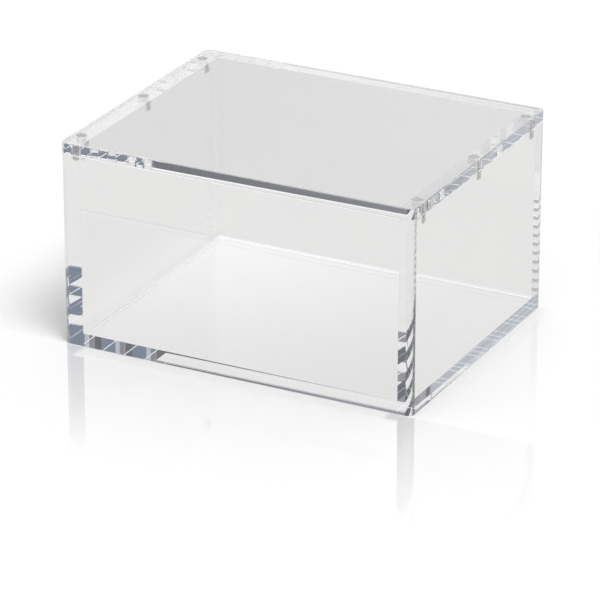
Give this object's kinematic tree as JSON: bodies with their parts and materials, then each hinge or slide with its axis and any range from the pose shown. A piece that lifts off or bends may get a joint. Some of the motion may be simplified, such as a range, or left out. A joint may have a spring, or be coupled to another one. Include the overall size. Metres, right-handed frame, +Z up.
{
  "type": "storage box",
  "caption": "Rectangular clear acrylic storage box with rounded upright corners and a flat plate lid that lifts straight off and is held down by pairs of small disc magnets.",
  "frame": {"origin": "middle of the box's underside, on the surface that it stands on", "axes": "+X to the right along the long side, +Y from front to back, +Z up through the lid"},
  "size_m": [0.21, 0.165, 0.117],
  "materials": {
    "clear_acrylic": "clear and polished, edges included",
    "magnet_plating": "bright nickel plating"
  },
  "bodies": {
    "box": {"base_plate": "clear_acrylic", "front_wall": "clear_acrylic", "back_wall": "clear_acrylic", "left_wall": "clear_acrylic", "right_wall": "clear_acrylic", "wall_magnet_left_front": "magnet_plating", "wall_magnet_left_middle": "magnet_plating", "wall_magnet_left_back": "magnet_plating", "wall_magnet_right_front": "magnet_plating", "wall_magnet_right_middle": "magnet_plating", "wall_magnet_right_back": "magnet_plating"},
    "lid": {"lid_plate": "clear_acrylic", "lid_magnet_left_front": "magnet_plating", "lid_magnet_left_middle": "magnet_plating", "lid_magnet_left_back": "magnet_plating", "lid_magnet_right_front": "magnet_plating", "lid_magnet_right_middle": "magnet_plating", "lid_magnet_right_back": "magnet_plating"}
  },
  "joints": [
    {"name": "lid_lift", "type": "slide", "parent": "box", "child": "lid", "axis": [0, 0, 1], "range_m": [0, 0.08]}
  ]
}
